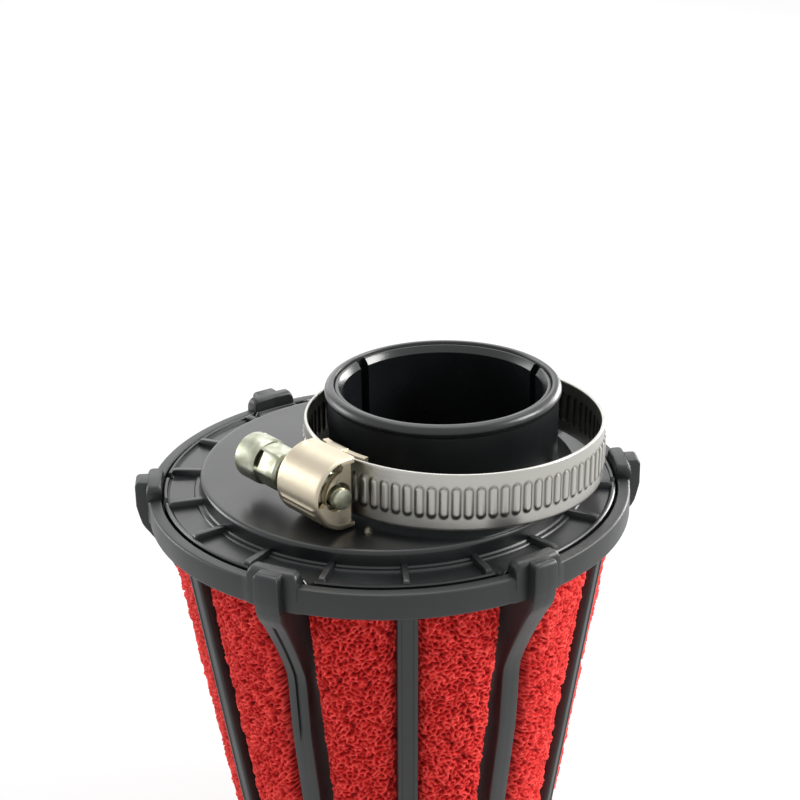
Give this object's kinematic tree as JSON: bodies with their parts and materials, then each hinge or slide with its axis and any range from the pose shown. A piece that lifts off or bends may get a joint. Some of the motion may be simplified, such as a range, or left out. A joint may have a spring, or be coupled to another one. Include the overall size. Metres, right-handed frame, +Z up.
{
  "type": "cone air filter",
  "caption": "Cone-shaped foam air filter in a black cage, with an offset inlet neck, slotted sleeve and loose worm-drive hose clamp.",
  "frame": {"origin": "centre of the end cap's bottom face, on the filter's axis", "axes": "+Z up the filter's axis from the end cap to the inlet neck, +X towards the side that the neck is offset to"},
  "size_m": [0.1074, 0.102, 0.1181],
  "materials": {
    "nylon_black": "injection-moulded glass-filled nylon, satin black, fine mould grain",
    "nylon_base": "injection-moulded nylon, satin black, slightly smoother than the cage",
    "nylon_sleeve": "injection-moulded nylon, satin black, polished bore",
    "red_foam": "open-cell polyurethane foam, red, coarse pores",
    "basket_plastic": "injection-moulded polypropylene, matt black",
    "seal_rubber": "soft black rubber",
    "band_steel": "rolled steel strip, satin, with pressed thread grooves",
    "zinc_steel": "pressed steel, yellowish zinc plating",
    "screw_steel": "turned steel screw, bright zinc plating"
  },
  "bodies": {
    "cage": {"cage_ring": "nylon_black", "clip_arm_1": "nylon_black", "clip_arm_2": "nylon_black", "clip_arm_3": "nylon_black", "clip_arm_4": "nylon_black", "clip_arm_5": "nylon_black", "clip_arm_6": "nylon_black", "flat_rib_1": "nylon_black", "flat_rib_2": "nylon_black", "flat_rib_3": "nylon_black", "flat_rib_4": "nylon_black", "flat_rib_5": "nylon_black", "flat_rib_6": "nylon_black", "end_cap": "nylon_black", "foam_cone": "red_foam", "inner_basket": "basket_plastic", "rim_seal": "seal_rubber"},
    "base": {"base_plate": "nylon_base", "inlet_neck": "nylon_base"},
    "sleeve": {"neck_sleeve": "nylon_sleeve"},
    "clamp": {"clamp_band": "band_steel", "clamp_housing": "zinc_steel", "clamp_saddle": "zinc_steel"},
    "screw": {"clamp_screw": "screw_steel"}
  },
  "joints": [
    {"name": "base_plate_lift", "type": "slide", "parent": "cage", "child": "base", "axis": [0, 0, 1], "range_m": [0, 0.03]},
    {"name": "sleeve_pull", "type": "slide", "parent": "base", "child": "sleeve", "axis": [0, 0, 1], "range_m": [0, 0.03]},
    {"name": "clamp_lift", "type": "slide", "parent": "base", "child": "clamp", "axis": [0, 0, 1], "range_m": [0, 0.035]},
    {"name": "screw_turn", "type": "hinge", "parent": "clamp", "child": "screw", "pos_m": [-0.01569, -0.02613, 0.10734], "axis": [0.5948, -0.8039, 0], "continuous": true}
  ]
}
